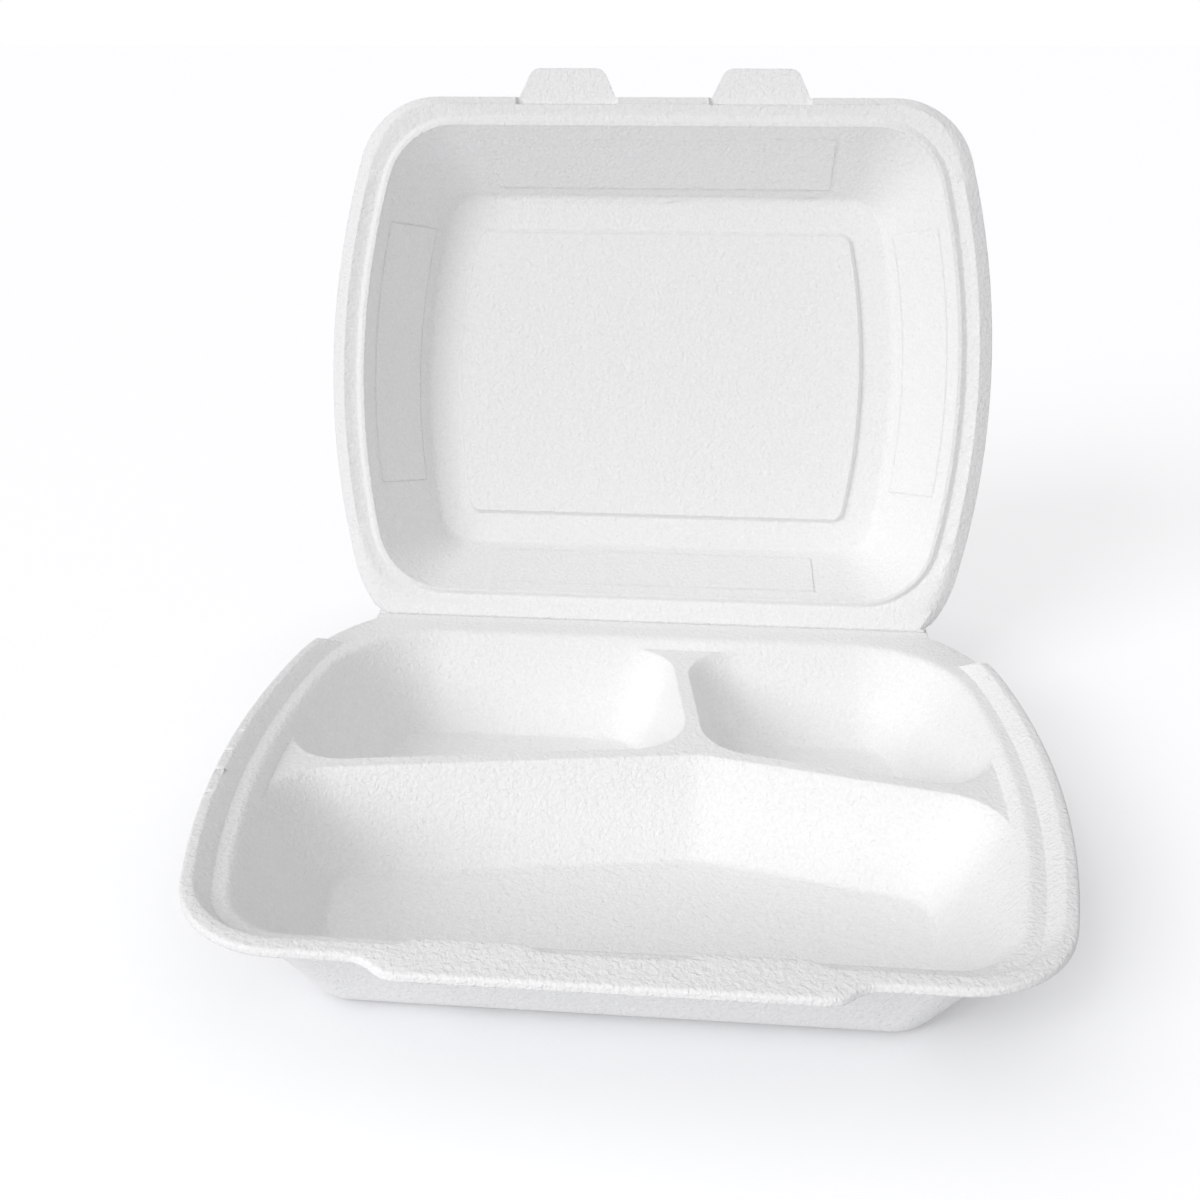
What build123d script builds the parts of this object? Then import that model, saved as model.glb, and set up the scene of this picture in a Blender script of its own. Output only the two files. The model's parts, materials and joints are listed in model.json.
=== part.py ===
from build123d import *
import math
import os

# Foam menu box with three pockets. A tray and a shallow lid are formed from one white foam sheet and
# hang together on a creased strip along the back. Millimetres, +Z up, +Y to the back, where the lid
# hinges. The origin is on the table, in the middle of the front pocket's flat underside.

# Sheet and outline of the tray
foam = 2.2
tray_width = 245.0
tray_depth = 189.2
side_radius = 287.4
widest_from_crease = 83.5
front_corner = 33.3
rear_corner = 60.0
rear_sweep = 12.3
origin_from_crease = 131.5

# Heights
crease_height = 36.0
ledge_drop = 0.4
lip_height = 2.9
ridge_drop = 3.5

# Rim of the tray, measured in from its edge
lip_crest_side = 3.2
lip_crest_front = 5.0
lip_base_side = 7.5
lip_base_front = 5.8
rim_side = 12.3
rim_front = 10.8
rim_rear = 12.5
mouth_front_corner = 20.0
mouth_rear_corner = 36.0
mouth_round = 3.0
lip_round = 1.0
lip_step_from_crease = 25.0
lip_step_run = 3.5

# Front flange of the tray: a flared middle and two bumps that catch the lid's tabs
flare = 5.6
flare_half = 48.0
flare_run = 14.0
bump = 2.4
bump_half = 12.2
bump_run = 5.5

# Pockets of the tray
wall_run_side = 20.0
wall_run_front = 15.9
wall_run_rear = 14.5
floor_corner = 12.0
floor_round = 5.0
ridge_half = 2.7
ridge_draft_deg = 21.5
ridge_bevel = 1.5
ridge_bevel_end = 0.4
well_tuck = 0.3
well_flare = 0.5
junction_x = 19.5
junction_share = 0.431
stem_slant_deg = 7.4
left_ridge_slant_deg = 8.3
right_ridge_slant_deg = 12.0
pocket_corner = 18.0
bend_corner = 24.0

# Crease between tray and lid
strip_depth = 4.1
strip_foam = 1.1
crease_gap = 0.15
crease_mitre_deg = 10.0
crease_taper = 2.5
seat_gap = 0.1
lid_open_deg = 105.0

# Lid, seen lying flat behind the tray with its hollow side up
lid_inset = 5.0
lid_front_inset = 5.6
lid_rear_corner = 45.9
lid_rear_sweep = 16.7
lid_edge_drop = 2.5
band_side = 4.7
band_front = 2.6
band_rear = 5.3
groove_side = 3.9
groove_depth = 1.3
groove_floor_half = 0.35
groove_rear_share = 0.7
bead_rise = 2.2
bead_crest = 1.2
lid_depth = 28.0
lid_run_side = 18.0
lid_run_front = 20.0
lid_run_rear = 14.0
lid_mouth_corner = 24.0
lid_floor_corner = 11.0
top_panel_margin = 10.5
top_panel_corner = 6.0
top_panel_rise = 1.6
top_panel_slope = 2.2
wall_panel_rise = 0.4
wall_panel_front_half = 60.0
wall_panel_side_middle = 95.0
wall_panel_side_half = 46.5
wall_panel_end = 4.5

# Tabs on the lid's front edge
tab_from_middle = 33.4
tab_length = 9.6
tab_base_half = 16.8
tab_tip_half = 12.2
tab_round = 4.0
tab_clearance = 0.35
catch_clearance = 0.4
catch_slope_share = 0.8

overrun = 5.0

tray_half = tray_width / 2
lid_half = tray_half - lid_inset
lid_front = tray_depth - lid_front_inset
ledge_z = crease_height - ledge_drop
crest_z = crease_height + lip_height
ridge_z = ledge_z - ridge_drop
junction_from_crease = tray_depth * junction_share
floor_z = foam
ridge_slope = math.tan(math.radians(ridge_draft_deg))
bead_inset = groove_side + bead_rise + bead_crest
wide = tray_width + overrun


def unit(x, y):
    length = math.hypot(x, y)
    return x / length, y / length


def line(point, inward):
    return "line", point, inward


def arc(centre, radius):
    return "arc", centre, radius


def corner_centre(a, b, radius):
    """Centre of the round of this radius that touches two neighbouring bounds of an outline."""
    if a[0] == "line" and b[0] == "line":
        (p, n), (q, m) = a[1:], b[1:]
        reach_a = n[0] * p[0] + n[1] * p[1] + radius
        reach_b = m[0] * q[0] + m[1] * q[1] + radius
        cross = n[0] * m[1] - n[1] * m[0]
        return (reach_a * m[1] - reach_b * n[1]) / cross, (n[0] * reach_b - m[0] * reach_a) / cross
    straight, bow = (a, b) if a[0] == "line" else (b, a)
    (p, n), (c, bow_radius) = straight[1:], bow[1:]
    away = n[0] * (c[0] - p[0]) + n[1] * (c[1] - p[1]) - radius
    foot = c[0] - n[0] * away, c[1] - n[1] * away
    half = math.sqrt((bow_radius - radius) ** 2 - away**2)
    ends = [(foot[0] - n[1] * s * half, foot[1] + n[0] * s * half) for s in (1, -1)]
    return max(ends, key=lambda end: -end[0] * c[0])


def touch(centre, radius, bound):
    """Where a corner round meets one of its two bounds."""
    if bound[0] == "line":
        return centre[0] - bound[2][0] * radius, centre[1] - bound[2][1] * radius
    d = unit(centre[0] - bound[1][0], centre[1] - bound[1][1])
    return bound[1][0] + d[0] * bound[2], bound[1][1] + d[1] * bound[2]


def arc_edge(start, stop, centre, radius, z):
    d = unit((start[0] + stop[0]) / 2 - centre[0], (start[1] + stop[1]) / 2 - centre[1])
    middle = centre[0] + d[0] * radius, centre[1] + d[1] * radius
    return Edge.make_three_point_arc((*start, z), (*middle, z), (*stop, z))


def outline(bounds, radii, z):
    """Closed wire at height z: bounds run anticlockwise, and radii round the corner after each."""
    count = len(bounds)
    centres = [corner_centre(bounds[i], bounds[(i + 1) % count], radii[i]) for i in range(count)]
    edges = []
    for i, bound in enumerate(bounds):
        start = touch(centres[i - 1], radii[i - 1], bound)
        stop = touch(centres[i], radii[i], bound)
        after = touch(centres[i], radii[i], bounds[(i + 1) % count])
        if bound[0] == "line":
            edges.append(Edge.make_line((*start, z), (*stop, z)))
        else:
            edges.append(arc_edge(start, stop, bound[1], bound[2], z))
        edges.append(arc_edge(stop, after, centres[i], radii[i], z))
    return Wire(edges)


def side_bows(half):
    """Bowed left and right bounds, on the same centres as the edge of the tray."""
    radius = side_radius - (tray_half - half)
    offset = half - radius
    return arc((offset, -widest_from_crease), radius), arc((-offset, -widest_from_crease), radius)


def barrel(half, rear, front, rear_round, front_round, z):
    """Bow-sided outline. Rear and front are distances from the crease toward the front."""
    right, left = side_bows(half)
    bounds = [line((0, -front), (0, 1)), right, line((0, -rear), (0, -1)), left]
    return outline(bounds, [front_round, rear_round, rear_round, front_round], z)


def between(lower, upper):
    return Solid.make_loft([lower, upper], ruled=True)


def prism(wire, height):
    return extrude(Face(wire), height, dir=(0, 0, 1))


def rounded_floor(solid, radius):
    return fillet(solid.faces().sort_by(Axis.Z)[0].edges(), radius)


def across(points, half=wide):
    """Solid whose section is a polygon of (y, z) points, run along X on both sides of the middle."""
    section = Face(Wire.make_polygon([(-half, y, z) for y, z in points], close=True))
    return extrude(section, 2 * half, dir=(1, 0, 0))


def at_share(low, high, share):
    return low + (high - low) * share


# The tray

def tray_edge(inset, z, front_inset=None):
    front_in = inset if front_inset is None else front_inset
    return barrel(tray_half - inset, inset - rear_sweep, tray_depth - front_in,
                  rear_corner - inset, front_corner - inset, z)


def mouth(grow, z, share=0.0):
    """Inner wall of the tray, grown outward. Share runs from 0 at the ledge to 1 at the pocket floors."""
    return barrel(tray_half - rim_side - wall_run_side * share + grow,
                  rim_rear + wall_run_rear * share - grow,
                  tray_depth - rim_front - wall_run_front * share + grow,
                  at_share(mouth_rear_corner, floor_corner, share) + grow,
                  at_share(mouth_front_corner, floor_corner, share) + grow, z)


def depth_share(z):
    return (ledge_z - z) / (ledge_z - floor_z)


def front_edge_outline(z):
    """Edge of the rim with the flared middle of the front flange, as one face."""
    front = -tray_depth
    out = front - flare
    root = front + lip_crest_front
    half, end = flare_half, flare_half + flare_run
    turns = [(-end, front), (-end + flare_run / 2, front - flare / 2), (-half, out),
             (half, out), (end - flare_run / 2, front - flare / 2), (end, front)]
    a, b, c, d, e, f = [(x, y, z) for x, y in turns]
    edges = [Edge.make_tangent_arc(a, (1, 0, 0), b),
             Edge.make_tangent_arc(c, (-1, 0, 0), b),
             Edge.make_line(c, d),
             Edge.make_tangent_arc(d, (1, 0, 0), e),
             Edge.make_tangent_arc(f, (-1, 0, 0), e),
             Edge.make_line(f, (end, root, z)),
             Edge.make_line((end, root, z), (-end, root, z)),
             Edge.make_line((-end, root, z), a)]
    return Face(tray_edge(0, z)) + Face(Wire(edges))


def bump_block(x, low_z, high_z, drop=0.0):
    """One bump on the inner side of the front lip, from the ledge up to the crest."""
    wires = []
    for z, inner in ((low_z, lip_base_front), (high_z, lip_crest_front)):
        back = -tray_depth + inner
        root = -tray_depth + lip_crest_front / 2
        tip = back + bump
        points = [(x - bump_half - bump_run, root), (x + bump_half + bump_run, root),
                  (x + bump_half + bump_run, back), (x + bump_half, tip),
                  (x - bump_half, tip), (x - bump_half - bump_run, back)]
        wires.append(Wire.make_polygon([(px, py, z - drop) for px, py in points], close=True))
    return between(*wires)


def lip_inset_below(z):
    """Inset of the lip's underside, one sheet below its inner slope."""
    rise = crest_z - ledge_z
    run = lip_base_side - lip_crest_side
    slant = math.hypot(rise, run)
    return lip_crest_side + (run * (crest_z - z) - foam * slant) / rise


def make_rim():
    """Flange sheet with its ledge, the raised lip, the flared front and the two bumps."""
    low = ledge_z - foam
    rim = extrude(front_edge_outline(low), crest_z - low, dir=(0, 0, 1))
    rise = crest_z - ledge_z
    beyond_share = 1 + overrun / rise
    well = between(tray_edge(lip_base_side, ledge_z, lip_base_front),
                   tray_edge(at_share(lip_base_side, lip_crest_side, beyond_share), crest_z + overrun,
                             at_share(lip_base_front, lip_crest_front, beyond_share)))
    rim = rim - well
    for x in (-tab_from_middle, tab_from_middle):
        rim = rim + bump_block(x, ledge_z, crest_z)
    crest_edges = rim.faces().filter_by(Axis.Z).sort_by(Axis.Z)[-1].edges()
    rim = fillet(crest_edges, lip_round)

    # Hollow under the lip, so that the rim is one sheet thick
    under_z = crest_z - foam
    base_z = low - overrun
    flared = extrude(front_edge_outline(base_z), under_z - base_z, dir=(0, 0, 1))
    grown = prism(tray_edge(-overrun, base_z), under_z - base_z)
    core = between(tray_edge(lip_inset_below(base_z), base_z), tray_edge(lip_inset_below(under_z), under_z))
    hollow = grown + flared - core
    for x in (-tab_from_middle, tab_from_middle):
        hollow = hollow + bump_block(x, ledge_z, crest_z, foam)

    # The lip rises from the ledge at a step near each rear corner
    step_y = -lip_step_from_crease
    slant = math.hypot(rise, lip_step_run)
    rear_well = across([(overrun, ledge_z), (step_y, ledge_z), (step_y - lip_step_run, crest_z),
                        (step_y - lip_step_run, crest_z + overrun), (overrun, crest_z + overrun)])
    under_step = step_y - foam * (slant - lip_step_run) / rise
    front_y = -tray_depth - flare - 2 * overrun
    lip_zone = across([(under_step, base_z), (under_step, low), (under_step - lip_step_run, under_z),
                       (front_y, under_z), (front_y, base_z)])
    rim = rim - rear_well - (hollow & lip_zone)

    # The sheet ends at the strip
    rear = across([(-strip_depth, low - overrun), (-strip_depth, crest_z), (rear_sweep + overrun, crest_z),
                   (rear_sweep + overrun, low - overrun)])
    return rim - rear


def ridge_line(slant_deg, toward_rear, z):
    """Face of a front ridge at height z. The ridges spread from it as they go down."""
    half = ridge_half + (ridge_z - z) * ridge_slope
    lean = math.radians(slant_deg)
    normal = -math.sin(lean) * toward_rear, math.cos(lean) * toward_rear
    return line((junction_x + normal[0] * half, -junction_from_crease + normal[1] * half), normal)


def stem_line(toward_right, z):
    """Face of the stem between the two rear pockets at height z."""
    half = ridge_half + (ridge_z - z) * ridge_slope
    lean = math.radians(stem_slant_deg)
    normal = math.cos(lean) * toward_right, math.sin(lean) * toward_right
    return line((junction_x + normal[0] * half, -junction_from_crease + normal[1] * half), normal)


def pocket_wires(name, z, grow):
    """Outline of one pocket at height z, grown outward into the sheet."""
    share = depth_share(z)
    right, left = side_bows(tray_half - rim_side - wall_run_side * share + grow)
    rear = line((0, -rim_rear - wall_run_rear * share + grow), (0, -1))
    front = line((0, -tray_depth + rim_front + wall_run_front * share - grow), (0, 1))

    def moved(bound):
        (x, y), (nx, ny) = bound[1:]
        return line((x - nx * grow, y - ny * grow), (nx, ny))

    left_rear = moved(ridge_line(left_ridge_slant_deg, 1, z))
    right_rear = moved(ridge_line(-right_ridge_slant_deg, 1, z))
    left_front = moved(ridge_line(left_ridge_slant_deg, -1, z))
    right_front = moved(ridge_line(-right_ridge_slant_deg, -1, z))
    stem_right = moved(stem_line(1, z))
    stem_left = moved(stem_line(-1, z))
    outer_front = at_share(mouth_front_corner, floor_corner, share) + grow
    outer_rear = at_share(mouth_rear_corner, floor_corner, share) + grow
    inner = at_share(pocket_corner, floor_corner, share) + grow
    bend = bend_corner + grow
    if name == "front":
        bounds = [front, right, right_front, left_front, left]
        return outline(bounds, [outer_front, inner, bend, inner, outer_front], z)
    if name == "left":
        bounds = [left_rear, stem_left, rear, left]
        return outline(bounds, [inner, inner, outer_rear, inner], z)
    bounds = [right_rear, right, rear, stem_right]
    return outline(bounds, [inner, outer_rear, inner, inner], z)


def pocket(name, grow, low, high):
    return between(pocket_wires(name, low, grow), pocket_wires(name, high, grow))


def make_tray():
    names = ("front", "left", "right")
    sheet = foam / math.cos(math.radians(ridge_draft_deg))
    deck_z = ridge_z - foam
    body = make_rim()

    # Outer faces of the well and of the three cups under it
    well_top = mouth(sheet + well_flare, ledge_z)
    body = body + between(mouth(sheet - well_tuck, deck_z, depth_share(deck_z)), well_top)
    for name in names:
        cup = pocket(name, sheet, 0, ledge_z - foam / 2)
        body = body + rounded_floor(cup, floor_round + foam)

    # Inner faces: the well down to the ridge tops, its soft mouth, and the pockets, one sheet inside
    well = between(mouth(-well_tuck, ridge_z, depth_share(ridge_z)), mouth(well_flare, ledge_z))
    body = body - well
    body = fillet(mouth_edges(body), mouth_round)
    for name in names:
        body = body - rounded_floor(pocket(name, 0, floor_z, ledge_z), floor_round)

    # Softened edges along the ridge tops
    low, high = ridge_z - ridge_bevel, ridge_z + ridge_bevel
    core = between(mouth(-ridge_bevel_end, low, depth_share(low)), mouth(-ridge_bevel_end, high, depth_share(high)))
    for name in names:
        bevel = between(pocket_wires(name, low, -ridge_bevel_end), pocket_wires(name, high, ridge_bevel))
        body = body - (bevel & core)
    return body + make_strip()


def mouth_edges(body):
    """Edges of the mouth: the longest inner loop of the flat ledge."""
    flats = [f for f in body.faces().filter_by(Axis.Z) if abs(f.center().Z - ledge_z) < seat_gap]
    ledge = max(flats, key=lambda f: f.area)
    return max(ledge.inner_wires(), key=lambda w: w.length).edges()


def crease_half():
    """Half length of the crease: where the lid's outline crosses it."""
    right, left = side_bows(lid_half)
    centre = corner_centre(right, line((0, lid_rear_sweep), (0, -1)), lid_rear_corner)
    return centre[0] + math.sqrt(lid_rear_corner**2 - centre[1] ** 2)


def make_strip():
    """Creased strip along the back of the tray, pressed thinner than the sheet."""
    mitre = strip_foam * math.tan(math.radians(crease_mitre_deg))
    end_z = crease_height - seat_gap / 2
    root_z = ledge_z - seat_gap
    root_y = -strip_depth - foam
    points = [(-crease_gap, end_z), (-strip_depth, root_z), (root_y, root_z),
              (root_y, root_z - strip_foam), (-strip_depth, root_z - strip_foam),
              (-crease_gap - mitre, end_z - strip_foam)]
    return across(points, crease_half())


# The lid, built lying flat with its crease at the origin and its hollow side up

def lid_edge(side_in, front_in, z):
    return barrel(lid_half - side_in, -lid_rear_sweep, lid_front - front_in,
                  lid_rear_corner - side_in, front_corner - lid_inset - side_in, z)


def lid_ring(inset, z):
    """Outline inside the lid's flange, inset from the inner line of its outer band."""
    return barrel(lid_half - band_side - inset, band_rear + inset * groove_rear_share,
                  lid_front - band_front - inset, lid_mouth_corner + bead_inset - inset,
                  lid_mouth_corner + bead_inset - inset, z)


def lid_wall(grow, z, share):
    """Inner wall of the lid, grown outward. Share runs from 0 at the mouth to 1 at the flat top."""
    return barrel(lid_half - band_side - bead_inset - lid_run_side * share + grow,
                  band_rear + bead_inset * groove_rear_share + lid_run_rear * share - grow,
                  lid_front - band_front - bead_inset - lid_run_front * share + grow,
                  at_share(lid_mouth_corner, lid_floor_corner, share) + grow,
                  at_share(lid_mouth_corner, lid_floor_corner, share) + grow, z)


def lid_groove(z):
    """Groove of the flange, with its upper side at height z."""
    outer = between(lid_ring(groove_side - groove_floor_half, z - groove_depth), lid_ring(0, z))
    inner = between(lid_ring(groove_side + groove_floor_half, z - groove_depth),
                    lid_ring(groove_side + bead_rise, z))
    return outer - inner


def lid_flange():
    """Sheet of the flange. Its outer band falls away so that it nests inside the tray's lip."""
    edge_z = -lid_edge_drop
    upper = between(lid_edge(0, 0, edge_z), lid_edge(band_side, band_front, 0))
    below = prism(lid_edge(0, 0, edge_z - foam), foam)
    under = between(lid_edge(0, 0, edge_z - foam), lid_edge(band_side, band_front, -foam))
    rear = across([(0, overrun), (0, edge_z - foam - overrun),
                   (lid_rear_sweep + overrun, edge_z - foam - overrun), (lid_rear_sweep + overrun, overrun)])
    return upper + below - under - rear


def tab_outline(x, z):
    root = -lid_front + lip_base_front
    front = -lid_front
    tip = front - tab_length
    points = [(x - tab_base_half, root), (x - tab_base_half, front), (x - tab_tip_half, tip),
              (x + tab_tip_half, tip), (x + tab_base_half, front), (x + tab_base_half, root)]
    face = Face(Wire.make_polygon([(px, py, z) for px, py in points], close=True))
    corners = [v for v in face.vertices() if abs(v.Y - tip) < tab_round / 2]
    return face.fillet_2d(tab_round, corners)


def lid_tab(x):
    """One tab and the recess behind it, which lets the tray's bump pass when the box is shut."""
    tab_z = -lip_height - tab_clearance
    catch = -tray_depth + lip_crest_front + bump + catch_clearance
    slope = lip_base_front - lip_crest_front
    shoulder = catch + slope * catch_slope_share
    tip = -lid_front - tab_length
    half = bump_half + bump_run + catch_clearance
    plate = [(shoulder, -groove_depth), (catch, tab_z), (-lid_front, tab_z),
             (-lid_front, tab_z - foam), (catch, tab_z - foam), (shoulder, -groove_depth - foam)]
    recess = [(shoulder, overrun), (shoulder, -groove_depth), (catch, tab_z),
              (tip - overrun, tab_z), (tip - overrun, overrun)]
    tab = extrude(tab_outline(x, tab_z - foam), foam, dir=(0, 0, 1))
    return Pos(x, 0, 0) * across(plate, half), tab, Pos(x, 0, 0) * across(recess, half - catch_clearance)


def lid_wall_panels():
    """Shallow panels raised on the inner walls, one on each side and one at the front and back."""
    high, low = -wall_panel_end, wall_panel_end - lid_depth
    rooted, raised = [between(lid_wall(grow, low, -low / lid_depth), lid_wall(grow, high, -high / lid_depth))
                      for grow in (foam / 2, -wall_panel_rise)]
    long_way = Box(2 * wall_panel_front_half, 2 * tray_depth, 2 * lid_depth)
    side_way = Pos(0, -wall_panel_side_middle, 0) * Box(2 * tray_width, 2 * wall_panel_side_half, 2 * lid_depth)
    return (rooted - raised) & (long_way + side_way)


def top_panel(z, inset):
    margin = top_panel_margin + inset
    return barrel(lid_half - band_side - bead_inset - lid_run_side - margin,
                  band_rear + bead_inset * groove_rear_share + lid_run_rear + margin,
                  lid_front - band_front - bead_inset - lid_run_front - margin,
                  top_panel_corner - inset, top_panel_corner - inset, z)


def make_lid():
    sheet = foam * math.hypot(lid_depth, lid_run_side) / lid_depth
    body = lid_flange()
    body = body + lid_groove(-foam)
    outer = between(lid_wall(sheet, -lid_depth - foam, 1 + foam / lid_depth), lid_wall(sheet, -foam / 2, 0))
    body = body + rounded_floor(outer, floor_round + foam)
    for x in (-tab_from_middle, tab_from_middle):
        plate, tab, recess = lid_tab(x)
        body = body + plate + tab - recess
    inner = between(lid_wall(0, -lid_depth, 1), lid_wall(0, 0, 0))
    inner = rounded_floor(inner, floor_round)
    body = body - inner - lid_groove(0)
    body = body + lid_wall_panels()

    # Panel pressed inward in the flat top
    raised = between(top_panel(-lid_depth - foam / 2, 0), top_panel(top_panel_rise - lid_depth, top_panel_slope))
    body = body + raised - Pos(0, 0, -foam) * raised

    # The flange thins toward the crease
    mitre = strip_foam * math.tan(math.radians(crease_mitre_deg))
    wedge = across([(overrun, overrun), (-crease_gap, overrun), (-crease_gap, 0),
                    (-crease_gap - mitre, -strip_foam), (-crease_taper, -foam), (-crease_taper, -2 * foam),
                    (overrun, -2 * foam)])
    body = body - wedge
    return Pos(0, 0, -seat_gap) * body


tray = Pos(0, origin_from_crease, 0) * make_tray()
flat_to_open = 180 - lid_open_deg
lid = Pos(0, origin_from_crease, crease_height) * Rot(flat_to_open, 0, 0) * Rot(0, 0, 180) * make_lid()

os.makedirs("parts", exist_ok=True)
for node, piece in (("tray", tray), ("lid", lid)):
    export_step(piece, f"parts/{node}.step")
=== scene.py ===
"""Looks of a white foam menu box: a tray with three pockets and an open lid, formed from one foam sheet."""

import json
import math

import bpy
import numpy as np
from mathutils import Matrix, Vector

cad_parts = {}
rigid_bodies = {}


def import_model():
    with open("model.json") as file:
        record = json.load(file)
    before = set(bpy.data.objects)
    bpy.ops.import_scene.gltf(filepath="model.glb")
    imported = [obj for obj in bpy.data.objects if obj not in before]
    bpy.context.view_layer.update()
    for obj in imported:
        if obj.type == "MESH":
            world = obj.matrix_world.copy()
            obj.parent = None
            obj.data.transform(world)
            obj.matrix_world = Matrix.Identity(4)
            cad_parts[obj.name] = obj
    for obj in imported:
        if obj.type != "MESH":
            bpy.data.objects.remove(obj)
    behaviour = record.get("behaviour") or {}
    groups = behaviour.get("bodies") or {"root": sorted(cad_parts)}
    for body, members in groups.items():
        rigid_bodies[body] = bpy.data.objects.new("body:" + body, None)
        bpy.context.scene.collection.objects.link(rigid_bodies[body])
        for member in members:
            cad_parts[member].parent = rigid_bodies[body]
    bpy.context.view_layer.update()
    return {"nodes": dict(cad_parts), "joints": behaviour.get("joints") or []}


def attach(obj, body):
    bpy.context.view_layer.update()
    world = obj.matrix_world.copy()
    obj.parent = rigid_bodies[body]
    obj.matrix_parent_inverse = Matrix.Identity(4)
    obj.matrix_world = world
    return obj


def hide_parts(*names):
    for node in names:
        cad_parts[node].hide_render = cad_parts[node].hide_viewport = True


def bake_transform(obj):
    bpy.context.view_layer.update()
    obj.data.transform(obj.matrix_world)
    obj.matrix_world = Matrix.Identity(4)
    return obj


MM = 0.001

# Camera, fitted to the photograph
CAMERA_AZIMUTH_DEG = 4.72
CAMERA_ELEVATION_DEG = 24.6
CAMERA_DISTANCE = 385.2 * MM
CAMERA_FROM_HINGE = Vector((-12.92, -60.0, 35.94)) * MM
SENSOR = 36.0
LENS = 37.04
CLIP_START = 10 * MM

# Crease that joins tray and lid, and the lid's lean at rest
CREASE_HALF = 100.7 * MM
LID_LEAN = math.radians(15)
LID_UP = Vector((0, math.sin(LID_LEAN), math.cos(LID_LEAN)))
LID_FACING = Vector((0, -math.cos(LID_LEAN), math.sin(LID_LEAN)))

# Slivers of the lid's skirt beside the ends of the crease, drawn back to the cut face
SLIVER_REACH = 2.51 * MM
SLIVER_BACK = 4.3 * MM

# Hollow round between floors and walls, drawn tighter than in the solids
SOLID_ROUND = 5.0 * MM
TIGHT_ROUND = 2.0 * MM
ROUND_SPARE = 0.1 * MM
WALL_TURN_DEG = {"tray": 62, "lid": 57}
FLAT_TURN_DEG = 2.5

# Raised panel of the lid's floor: its rise in the solids, and the lift that makes its edge steeper
PANEL_RISE = 1.6 * MM
PANEL_LIFT = 0.8 * MM

# Foam skin: shares of the triangles that stay, and largest edges on the walls and round the nicks
KEPT_SHARES = {"tray": 0.5, "lid": 0.9}
EDGE_MOST = 5.0 * MM
NICK_EDGE_MOST = 0.4 * MM
DIVIDE_PASSES = 8
WELD = 0.002 * MM
SHARP_DEG = 32

# Relief: slow waves of the sheet, and four nicks in the left lip
WAVE = 0.05 * MM
WAVE_CELL = 34 * MM
RIM_SECTORS = 360
NICK_FROM_HINGE = [92.3 * MM, 103.3 * MM, 113.6 * MM, 125.5 * MM]
NICK_DEPTH = 1.1 * MM
NICK_HALF = 0.7 * MM
NICK_REACH = 3.0 * MM
NICK_ZONE = 4.0 * MM

# Lattice noise: shift between seeds, and what mixes a lattice point into a value
SEED_SHIFT = 17.31
LATTICE_PRIMES = (73856093, 19349663, 83492791)
MIX_PRIME = 1274126177
MIX_MASK = 0x7FFFFFFF
VALUE_MASK = 0xFFFF

# Foam material: tones of its cells, a painted highlight on creases and sharp edges, wrinkles, fine grain,
# and crimps at the cut rim
FOAM_ROUGHNESS = 0.55
FOAM_SPECULAR = 0.3
CELL_SCALE = 1100
CELL_DETAIL = 3
CELL_DARK = (0.915, 0.915, 0.917, 1)
CELL_DARK_AT = 0.35
CELL_LIGHT = (0.962, 0.962, 0.964, 1)
CELL_LIGHT_AT = 0.65
SOFT_EDGE = 0.6 * MM
SOFT_EDGE_SAMPLES = 2
# Painted highlight along sharp edges: where its mask starts, where it is full, and its tone
EDGE_HIGHLIGHT_STARTS = 0.995
EDGE_HIGHLIGHT_FULL = 0.90
EDGE_HIGHLIGHT_TONE = (0.99, 0.99, 0.99, 1)
WRINKLE_SCALE = 700
WRINKLE_DETAIL = 2
WRINKLE_DISTORTION = 0.5
WRINKLE_DEPTH = 0.50 * MM
GRAIN_SCALE = 1500
GRAIN_DETAIL = 2
GRAIN_DEPTH = 0.13 * MM
CRIMP_DEPTH = 0.25 * MM
CRIMP_REACH = 2.4 * MM

# Web across the crease: its reach to each side, the levels of its two faces, and the gap at its ends
WEB_STEPS = 12
WEB_COLUMNS = 120
WEB_REACH = 1.2 * MM
WEB_LEVELS = (-0.25 * MM, -0.75 * MM)
WEB_SLANT = 0.5
WEB_END_GAP = 0.3 * MM

# Light: a dome that is brightest above and to the left in front, a lamp on that side, and a second lamp
# on the tray
DOME_STRENGTH = 0.43
DOME_TILT = 0.60
DOME_FROM = Vector((-0.50, -0.50, 0.70)).normalized()
LAMP_FROM = Vector((-0.62, -0.66, 0.42)).normalized()
LAMP_STRENGTH = 1.07
LAMP_SPREAD_DEG = 28
TRAY_LAMP_AT = Vector((-0.25, -0.50, 0.60))
TRAY_LAMP_AIM = Vector((0.0, 0.005, 0.02))
TRAY_LAMP_POWER = 4.4
TRAY_LAMP_CONE_DEG = 26
TRAY_LAMP_BLEND = 1.0
TRAY_LAMP_RADIUS = 0.10
WHITE = (1, 1, 1, 1)
BACKDROP_STRENGTH = 1.0

# Floor, a little below the box
FLOOR_HALF = 30.0
FLOOR_DROP = 0.2 * MM
FLOOR_TONE = (0.85, 0.855, 0.87, 1)
FLOOR_ROUGHNESS = 0.9
FLOOR_SPECULAR = 0.1
FLOOR_GLOW = 0.40
# Painted shadow on the floor: how far the dimming of its glow reaches, and its samples
FLOOR_PAINTED_SHADOW_REACH = 0.10
FLOOR_PAINTED_SHADOW_SAMPLES = 5


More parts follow.
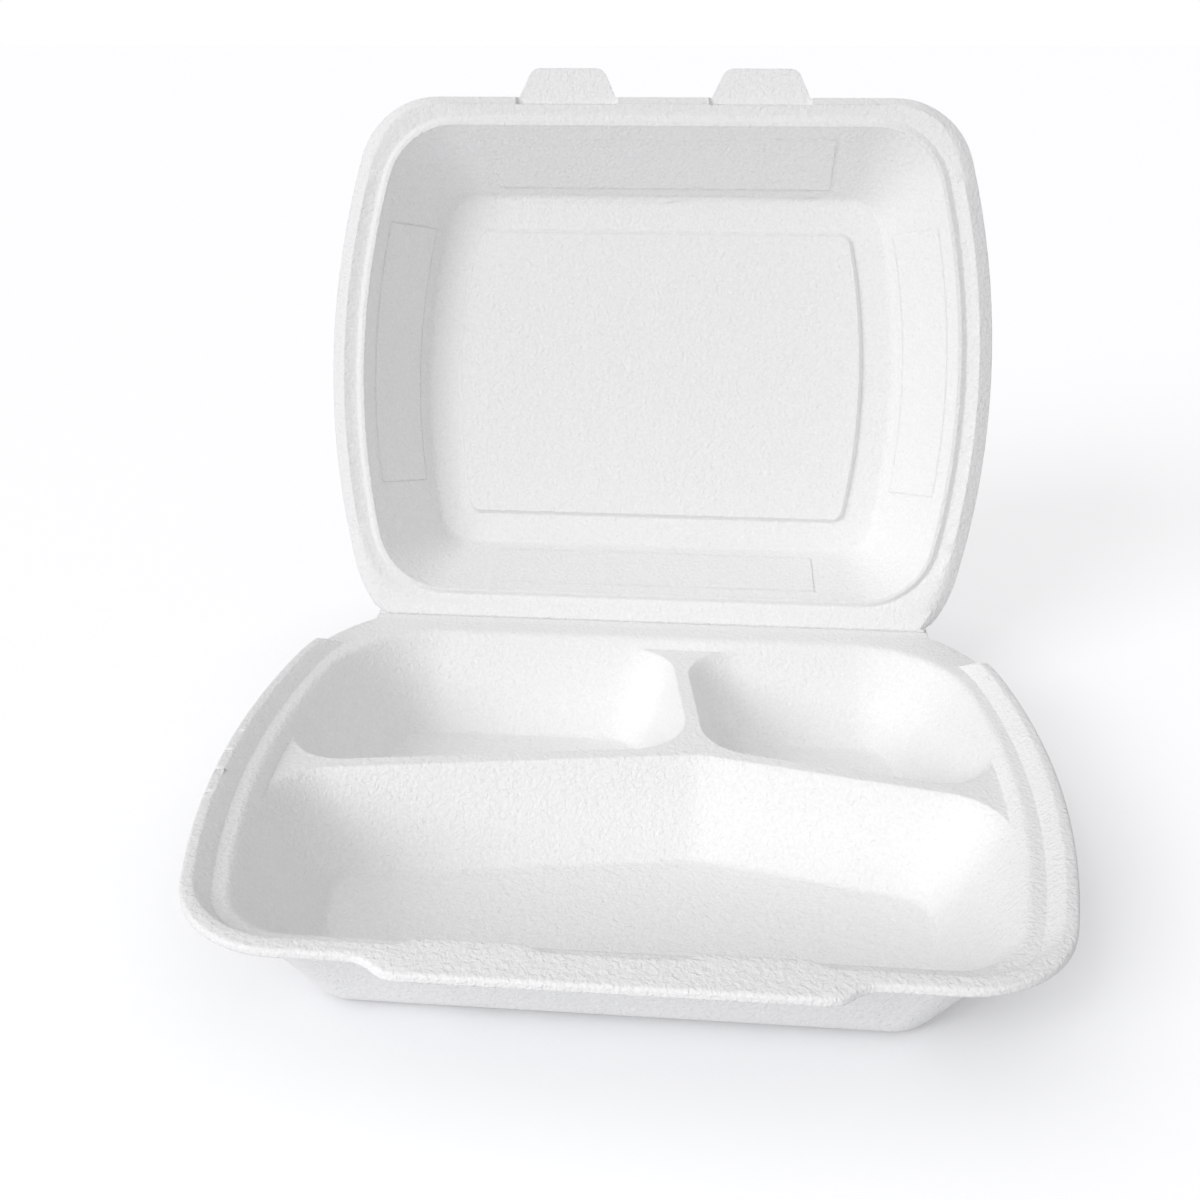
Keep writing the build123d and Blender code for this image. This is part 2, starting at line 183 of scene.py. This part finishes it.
def noise(points, cell, seed):
    """Smooth value noise from -1 to 1 at points (n, 3), with lattice cells of the given size."""
    scaled = points / cell + seed * SEED_SHIFT
    base = np.floor(scaled).astype(np.int64)
    part = scaled - base
    part = part * part * (3 - 2 * part)
    total = np.zeros(len(points))
    for corner in range(8):
        step = np.array([corner & 1, corner >> 1 & 1, corner >> 2 & 1])
        lattice = base + step
        mixed = np.bitwise_xor.reduce(lattice * LATTICE_PRIMES, axis=1)
        mixed = (mixed ^ (mixed >> 13)) * MIX_PRIME & MIX_MASK
        value = (mixed >> 8 & VALUE_MASK) / (VALUE_MASK / 2) - 1
        weight = np.prod(np.where(step == 1, part, 1 - part), axis=1)
        total += value * weight
    return total


def new_object(name, mesh):
    piece = bpy.data.objects.new(name, mesh)
    bpy.context.scene.collection.objects.link(piece)
    return piece


def read_points(mesh):
    points = np.empty(len(mesh.vertices) * 3, np.float32)
    mesh.vertices.foreach_get("co", points)
    return points.reshape(-1, 3).astype(float)


def read_faces(mesh):
    mesh.calc_loop_triangles()
    faces = np.empty(len(mesh.loop_triangles) * 3, np.int32)
    mesh.loop_triangles.foreach_get("vertices", faces)
    return faces.reshape(-1, 3).astype(np.int64)


def read_normals(mesh):
    normals = np.empty(len(mesh.vertices) * 3, np.float32)
    mesh.vertex_normals.foreach_get("vector", normals)
    return normals.reshape(-1, 3).astype(float)


def weld(points, faces):
    """Joins points that lie together, and drops triangles that this closes up."""
    keys = np.round(points / WELD).astype(np.int64)
    _, first, index = np.unique(keys, axis=0, return_index=True, return_inverse=True)
    faces = index.reshape(-1)[faces]
    whole = (faces[:, 0] != faces[:, 1]) & (faces[:, 1] != faces[:, 2]) & (faces[:, 2] != faces[:, 0])
    return points[first], faces[whole]


def divide(points, faces, most):
    """Halves edges that are longer than most(their middles), and keeps the triangles joined."""
    for _ in range(DIVIDE_PASSES):
        ends = np.sort(faces[:, [[0, 1], [1, 2], [2, 0]]].reshape(-1, 2), axis=1)
        keys = ends[:, 0] * len(points) + ends[:, 1]
        _, first, index = np.unique(keys, return_index=True, return_inverse=True)
        ends = ends[first]
        length = np.linalg.norm(points[ends[:, 0]] - points[ends[:, 1]], axis=1)
        is_long = length > most(points[ends].mean(axis=1))
        middle = np.full(len(ends), -1)
        middle[is_long] = len(points) + np.arange(is_long.sum())
        points = np.vstack([points, points[ends[is_long]].mean(axis=1)])
        cut = middle[index.reshape(-1, 3)]
        count = (cut >= 0).sum(axis=1)
        parts = [faces[count == 0]]

        # One edge is cut: it is turned to come first
        few, mid = turned(faces[count == 1], cut[count == 1], np.argmax(cut[count == 1] >= 0, axis=1))
        a, b, c = few.T
        parts += [np.c_[a, mid[:, 0], c], np.c_[mid[:, 0], b, c]]

        # Two edges are cut: the whole one is turned to come last
        few, mid = turned(faces[count == 2], cut[count == 2], np.argmax(cut[count == 2] < 0, axis=1) + 1)
        a, b, c = few.T
        parts += [np.c_[mid[:, 0], b, mid[:, 1]], np.c_[a, mid[:, 0], mid[:, 1]], np.c_[a, mid[:, 1], c]]

        few, mid = faces[count == 3], cut[count == 3]
        a, b, c = few.T
        parts += [np.c_[a, mid[:, 0], mid[:, 2]], np.c_[b, mid[:, 1], mid[:, 0]],
                  np.c_[c, mid[:, 2], mid[:, 1]], mid]
        faces = np.vstack(parts)
    return points, faces


def turned(faces, cut, start):
    """Triangles and their edge marks, turned so that corner start comes first."""
    order = (start[:, None] + np.arange(3)) % 3
    return np.take_along_axis(faces, order, axis=1), np.take_along_axis(cut, order, axis=1)


def fewer(points, faces, share):
    """The same surface with a share of its triangles."""
    mesh = bpy.data.meshes.new("fewer")
    mesh.from_pydata(points.tolist(), [], faces.tolist())
    piece = new_object("fewer", mesh)
    piece.modifiers.new("fewer", "DECIMATE").ratio = share
    kept = piece.evaluated_get(bpy.context.evaluated_depsgraph_get()).to_mesh()
    points, faces = read_points(kept), read_faces(kept)
    bpy.data.objects.remove(piece)
    return points, faces


def laid_flat(points, node):
    """Points (n, 2) in the sheet's plane: across, and away from the hinge."""
    if node == "tray":
        return np.c_[points[:, 0], hinge.y - points[:, 1]]
    return np.c_[points[:, 0], (points - np.array(hinge)) @ np.array(LID_UP)]


def rim_outline(flat):
    """Turn and reach of the outline that points (n, 2) fill, seen from the middle of their box."""
    middle = (flat.min(axis=0) + flat.max(axis=0)) / 2
    turn = np.arctan2(flat[:, 1] - middle[1], flat[:, 0] - middle[0])
    reach = np.hypot(flat[:, 0] - middle[0], flat[:, 1] - middle[1])
    order = np.argsort(reach)
    sector = np.floor((turn + math.pi) / (2 * math.pi) * RIM_SECTORS).astype(int) % RIM_SECTORS
    outermost = np.full(RIM_SECTORS, -1)
    outermost[sector[order]] = order
    outermost = outermost[outermost >= 0]
    outermost = outermost[np.argsort(turn[outermost])]
    return middle, turn[outermost], reach[outermost]


def rim_depth(flat, rim):
    """How far points (n, 2) lie inside an outline."""
    middle, turns, reaches = rim
    turn = np.arctan2(flat[:, 1] - middle[1], flat[:, 0] - middle[0])
    reach = np.hypot(flat[:, 0] - middle[0], flat[:, 1] - middle[1])
    return np.interp(turn, turns, reaches, period=2 * math.pi) - reach


def from_nicks(flat, rim):
    """Distance along the left rim from each point to the nearest nick, and large elsewhere."""
    along = np.abs(flat[:, 1, None] - np.array(NICK_FROM_HINGE)).min(axis=1)
    return np.where((flat[:, 0] < 0) & (rim_depth(flat, rim) < NICK_ZONE), along, np.inf)


def foam_skin(name, node):
    """Copy of a node's surface, welded and divided finely enough to carry relief."""
    source = frame["nodes"][node].data
    points = read_points(source)
    if node == "lid":
        behind = (np.array(hinge) - points) @ np.array(LID_FACING) > SLIVER_BACK
        short = np.maximum(SLIVER_REACH - laid_flat(points, node)[:, 1], 0)
        points[behind] += short[behind, None] * np.array(LID_UP)
    points, faces = weld(points, read_faces(source))
    points, faces = fewer(points, faces, KEPT_SHARES[node])
    points, faces = divide(points, faces, lambda middles: EDGE_MOST)
    rim = rim_outline(laid_flat(points, node))

    if node == "tray":
        points, faces = divide(points, faces, lambda middles: np.where(
            from_nicks(laid_flat(middles, node), rim) < NICK_ZONE / 2, NICK_EDGE_MOST, EDGE_MOST))
    mesh = bpy.data.meshes.new(name)
    mesh.from_pydata(points.tolist(), [], faces.tolist())
    mesh.update()
    tighten(mesh, node)
    relief(mesh, node, rim)
    return new_object(name, mesh)


def tighten(mesh, node):
    """Draws the hollow round between a floor and its walls tighter, and lifts the lid's raised panel."""
    points = read_points(mesh)
    normals = read_normals(mesh)
    up = np.array((0.0, 0.0, 1.0) if node == "tray" else LID_FACING)
    wall_turn = math.radians(WALL_TURN_DEG[node])
    flat_turn = math.radians(FLAT_TURN_DEG)
    facing = normals @ up
    turn = np.arccos(np.clip(facing, -1, 1))
    height = points @ up
    height -= height[turn < flat_turn].min()
    top = SOLID_ROUND * (1 - math.cos(wall_turn)) + ROUND_SPARE
    hollow = (height > -ROUND_SPARE) & (height < top) & (turn > flat_turn) & (turn < wall_turn + flat_turn)
    if node == "lid":
        middle = points[(turn < flat_turn) & (height < ROUND_SPARE)].mean(axis=0)
        inward = ((normals - facing[:, None] * up) * (middle - points)).sum(axis=1) > 0
        panel = (np.abs(height - PANEL_RISE) < ROUND_SPARE) & (facing > math.cos(wall_turn))
        panel &= ~inward | (turn < flat_turn)
        points[panel] += PANEL_LIFT * up
        hollow &= inward & ~panel

    # Reach from the middle of the solid's round to the floor, the wall, or the tighter round between them
    turn = turn[hollow]
    half = wall_turn / 2
    from_bisector = np.abs(turn - half)
    reach = SOLID_ROUND / np.cos(half - from_bisector)
    apart = (SOLID_ROUND - TIGHT_ROUND) / math.cos(half)
    touch = half - math.atan((SOLID_ROUND - TIGHT_ROUND) * math.tan(half) / SOLID_ROUND)
    chord = np.sqrt(np.maximum(TIGHT_ROUND ** 2 - (apart * np.sin(from_bisector)) ** 2, 0))
    reach = np.where(from_bisector < touch, apart * np.cos(from_bisector) + chord, reach)
    points[hollow] += normals[hollow] * (SOLID_ROUND - reach)[:, None]
    mesh.vertices.foreach_set("co", points.astype(np.float32).ravel())
    mesh.update()


def relief(mesh, node, rim):
    """Slow waves of the sheet, and the nicks. Each point keeps its depth in the rim."""
    points = read_points(mesh)
    normals = read_normals(mesh)
    flat = laid_flat(points, node)
    depth = rim_depth(flat, rim)
    rise = WAVE * noise(points, WAVE_CELL, 1)
    if node == "tray":
        along = from_nicks(flat, rim)
        rise -= NICK_DEPTH * np.clip(1 - along / NICK_HALF, 0, 1) * np.clip(1 - depth / NICK_REACH, 0, 1)
    points += normals * rise[:, None]
    mesh.vertices.foreach_set("co", points.astype(np.float32).ravel())
    mesh.update()
    inside = mesh.attributes.new("rim_depth", "FLOAT", "POINT")
    inside.data.foreach_set("value", depth.astype(np.float32))


def shade(piece):
    """Smooth shading, broken at sharp edges."""
    mesh = piece.data
    mesh.shade_smooth()
    mesh.set_sharp_from_angle(angle=math.radians(SHARP_DEG))


def foam_material():
    """White foam: a leathery pressed skin with fine cells, and a painted highlight along its creases and
    sharp edges.
    """
    material = bpy.data.materials.new("white_foam")
    material.use_nodes = True
    tree = material.node_tree
    nodes, links = tree.nodes, tree.links
    shader = nodes["Principled BSDF"]
    shader.inputs["Roughness"].default_value = FOAM_ROUGHNESS
    shader.inputs["Specular IOR Level"].default_value = FOAM_SPECULAR
    place = nodes.new("ShaderNodeTexCoord")

    # Fine cells of the foam, a little lighter and darker
    cells = nodes.new("ShaderNodeTexNoise")
    cells.inputs["Scale"].default_value = CELL_SCALE
    cells.inputs["Detail"].default_value = CELL_DETAIL
    links.new(place.outputs["Object"], cells.inputs["Vector"])
    ramp = nodes.new("ShaderNodeValToRGB")
    ramp.color_ramp.elements[0].color = CELL_DARK
    ramp.color_ramp.elements[1].color = CELL_LIGHT
    ramp.color_ramp.elements[0].position = CELL_DARK_AT
    ramp.color_ramp.elements[1].position = CELL_LIGHT_AT
    links.new(cells.outputs["Fac"], ramp.inputs["Fac"])

    # Painted highlight: creases and cut edges are painted whiter where the rounded edge normal leaves the
    # face's own
    round_edge = nodes.new("ShaderNodeBevel")
    round_edge.samples = SOFT_EDGE_SAMPLES
    round_edge.inputs["Radius"].default_value = SOFT_EDGE
    face = nodes.new("ShaderNodeNewGeometry")
    agree = nodes.new("ShaderNodeVectorMath")
    agree.operation = "DOT_PRODUCT"
    links.new(round_edge.outputs["Normal"], agree.inputs[0])
    links.new(face.outputs["Normal"], agree.inputs[1])
    edge_highlight_mask = nodes.new("ShaderNodeMapRange")
    edge_highlight_mask.inputs["From Min"].default_value = EDGE_HIGHLIGHT_STARTS
    edge_highlight_mask.inputs["From Max"].default_value = EDGE_HIGHLIGHT_FULL
    links.new(agree.outputs["Value"], edge_highlight_mask.inputs["Value"])
    paint_edge_highlight = nodes.new("ShaderNodeMix")
    paint_edge_highlight.data_type = "RGBA"
    paint_edge_highlight.inputs["B"].default_value = EDGE_HIGHLIGHT_TONE
    links.new(edge_highlight_mask.outputs["Result"], paint_edge_highlight.inputs["Factor"])
    links.new(ramp.outputs["Color"], paint_edge_highlight.inputs["A"])
    links.new(paint_edge_highlight.outputs["Result"], shader.inputs["Base Color"])

    # Leathery wrinkles over finer grain
    wrinkle = nodes.new("ShaderNodeTexNoise")
    wrinkle.inputs["Scale"].default_value = WRINKLE_SCALE
    wrinkle.inputs["Detail"].default_value = WRINKLE_DETAIL
    wrinkle.inputs["Distortion"].default_value = WRINKLE_DISTORTION
    links.new(place.outputs["Object"], wrinkle.inputs["Vector"])
    wrinkled = nodes.new("ShaderNodeBump")
    wrinkled.inputs["Distance"].default_value = WRINKLE_DEPTH
    links.new(round_edge.outputs["Normal"], wrinkled.inputs["Normal"])
    links.new(wrinkle.outputs["Fac"], wrinkled.inputs["Height"])
    grain = nodes.new("ShaderNodeTexNoise")
    grain.inputs["Scale"].default_value = GRAIN_SCALE
    grain.inputs["Detail"].default_value = GRAIN_DETAIL
    links.new(place.outputs["Object"], grain.inputs["Vector"])
    inside = nodes.new("ShaderNodeAttribute")
    inside.attribute_name = "rim_depth"
    at_rim = nodes.new("ShaderNodeMapRange")
    at_rim.inputs["From Min"].default_value = CRIMP_REACH
    at_rim.inputs["From Max"].default_value = 0.0
    at_rim.inputs["To Min"].default_value = GRAIN_DEPTH
    at_rim.inputs["To Max"].default_value = CRIMP_DEPTH
    links.new(inside.outputs["Fac"], at_rim.inputs["Value"])
    grained = nodes.new("ShaderNodeBump")
    links.new(at_rim.outputs["Result"], grained.inputs["Distance"])
    links.new(wrinkled.outputs["Normal"], grained.inputs["Normal"])
    links.new(grain.outputs["Fac"], grained.inputs["Height"])
    links.new(grained.outputs["Normal"], shader.inputs["Normal"])
    return material


def dress(piece, material):
    piece.data.materials.clear()
    piece.data.materials.append(material)


def make_web(material):
    """Thin creased web across the hinge line, bent to the lid's lean at rest."""
    steps, columns = WEB_STEPS, WEB_COLUMNS
    rows = []
    for i in range(steps + 1):
        s = (i / steps * 2 - 1) * WEB_REACH
        if s < 0:
            rows.append((hinge.y + s, hinge.z))
        else:
            rows.append((hinge.y + s * LID_UP.y, hinge.z + s * LID_UP.z))
    points, faces = [], []
    for level in WEB_LEVELS:
        for y, z in rows:
            for c in range(columns + 1):
                x = (c / columns * 2 - 1) * (CREASE_HALF - WEB_END_GAP)
                points.append((x, y - level * WEB_SLANT, z + level))
    width = columns + 1
    layer = (steps + 1) * width
    for i in range(steps):
        for c in range(columns):
            a = i * width + c
            faces.append((a, a + 1, a + width + 1, a + width))
            b = a + layer
            faces.append((b, b + width, b + width + 1, b + 1))
    for c in range(columns):
        faces.append((c + 1, c, c + layer, c + 1 + layer))
        d = steps * width + c
        faces.append((d, d + 1, d + 1 + layer, d + layer))
    for i in range(steps):
        a = i * width
        faces.append((a, a + width, a + width + layer, a + layer))
        d = a + columns
        faces.append((d + width, d, d + layer, d + width + layer))
    mesh = bpy.data.meshes.new("hinge_web")
    mesh.from_pydata(points, [], faces)
    mesh.update()
    mesh.shade_smooth()
    piece = new_object("hinge_web", mesh)
    dress(piece, material)
    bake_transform(piece)


def make_floor():
    """Pale floor that glows a little to the camera, with a painted shadow: the glow is dimmed where the box
    closes the floor in.
    """
    mesh = bpy.data.meshes.new("floor")
    half = FLOOR_HALF
    corners = [(-half, -half, 0), (half, -half, 0), (half, half, 0), (-half, half, 0)]
    mesh.from_pydata(corners, [], [(0, 1, 2, 3)])
    floor = new_object("floor", mesh)
    floor.location.z = -FLOOR_DROP
    material = bpy.data.materials.new("pale_floor")
    material.use_nodes = True
    nodes, links = material.node_tree.nodes, material.node_tree.links
    shader = nodes["Principled BSDF"]
    shader.inputs["Base Color"].default_value = FLOOR_TONE
    shader.inputs["Roughness"].default_value = FLOOR_ROUGHNESS
    shader.inputs["Specular IOR Level"].default_value = FLOOR_SPECULAR
    shader.inputs["Emission Color"].default_value = WHITE
    seen = nodes.new("ShaderNodeLightPath")
    glow = nodes.new("ShaderNodeMath")
    glow.operation = "MULTIPLY"
    glow.inputs[1].default_value = FLOOR_GLOW
    links.new(seen.outputs["Is Camera Ray"], glow.inputs[0])
    # Painted shadow: the camera-only glow is dimmed by ambient occlusion near the box
    open_above = nodes.new("ShaderNodeAmbientOcclusion")
    open_above.samples = FLOOR_PAINTED_SHADOW_SAMPLES
    open_above.inputs["Distance"].default_value = FLOOR_PAINTED_SHADOW_REACH
    glow_with_painted_shadow = nodes.new("ShaderNodeMath")
    glow_with_painted_shadow.operation = "MULTIPLY"
    links.new(glow.outputs["Value"], glow_with_painted_shadow.inputs[0])
    links.new(open_above.outputs["AO"], glow_with_painted_shadow.inputs[1])
    links.new(glow_with_painted_shadow.outputs["Value"], shader.inputs["Emission Strength"])
    mesh.materials.append(material)


def make_light():
    """Soft dome, lamp and tray lamp."""
    world = bpy.data.worlds.new("studio")
    bpy.context.scene.world = world
    world.use_nodes = True
    nodes, links = world.node_tree.nodes, world.node_tree.links
    background = nodes["Background"]
    background.inputs["Color"].default_value = WHITE
    place = nodes.new("ShaderNodeTexCoord")
    along = nodes.new("ShaderNodeVectorMath")
    along.operation = "DOT_PRODUCT"
    along.inputs[1].default_value = DOME_FROM
    links.new(place.outputs["Generated"], along.inputs[0])
    level = nodes.new("ShaderNodeMath")
    level.operation = "MULTIPLY_ADD"
    level.inputs[1].default_value = DOME_STRENGTH * DOME_TILT
    level.inputs[2].default_value = DOME_STRENGTH
    links.new(along.outputs["Value"], level.inputs[0])
    seen = nodes.new("ShaderNodeLightPath")
    shown = nodes.new("ShaderNodeMix")
    shown.inputs["B"].default_value = BACKDROP_STRENGTH
    links.new(seen.outputs["Is Camera Ray"], shown.inputs["Factor"])
    links.new(level.outputs["Value"], shown.inputs["A"])
    links.new(shown.outputs["Result"], background.inputs["Strength"])
    lamp = bpy.data.lights.new("lamp", "SUN")
    lamp.energy = LAMP_STRENGTH
    lamp.angle = math.radians(LAMP_SPREAD_DEG)
    holder = bpy.data.objects.new("lamp", lamp)
    bpy.context.scene.collection.objects.link(holder)
    holder.rotation_euler = (-LAMP_FROM).to_track_quat("-Z", "Y").to_euler()
    spot = bpy.data.lights.new("tray_lamp", "SPOT")
    spot.energy = TRAY_LAMP_POWER
    spot.spot_size = math.radians(TRAY_LAMP_CONE_DEG)
    spot.spot_blend = TRAY_LAMP_BLEND
    spot.shadow_soft_size = TRAY_LAMP_RADIUS
    stand = bpy.data.objects.new("tray_lamp", spot)
    bpy.context.scene.collection.objects.link(stand)
    stand.location = TRAY_LAMP_AT
    stand.rotation_euler = (TRAY_LAMP_AIM - TRAY_LAMP_AT).to_track_quat("-Z", "Y").to_euler()


def make_camera():
    azimuth = math.radians(CAMERA_AZIMUTH_DEG)
    elevation = math.radians(CAMERA_ELEVATION_DEG)
    back = Vector((math.sin(azimuth) * math.cos(elevation), -math.cos(azimuth) * math.cos(elevation),
                   math.sin(elevation)))
    data = bpy.data.cameras.new("camera")
    data.sensor_width = SENSOR
    data.lens = LENS
    data.clip_start = CLIP_START
    camera = bpy.data.objects.new("camera", data)
    camera.location = hinge + CAMERA_FROM_HINGE + back * CAMERA_DISTANCE
    camera.rotation_euler = (-back).to_track_quat("-Z", "Y").to_euler()
    bpy.context.scene.collection.objects.link(camera)
    bpy.context.scene.camera = camera


for old in list(bpy.data.objects):
    bpy.data.objects.remove(old)
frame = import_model()
hinge = Vector(frame["joints"][0]["pos_m"])
foam = foam_material()
for node in ("tray", "lid"):
    skin = foam_skin(node + "_foam", node)
    shade(skin)
    dress(skin, foam)
    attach(skin, node)
    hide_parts(node)
make_web(foam)
make_floor()
make_light()
make_camera()
bpy.context.scene.view_settings.view_transform = "Standard"
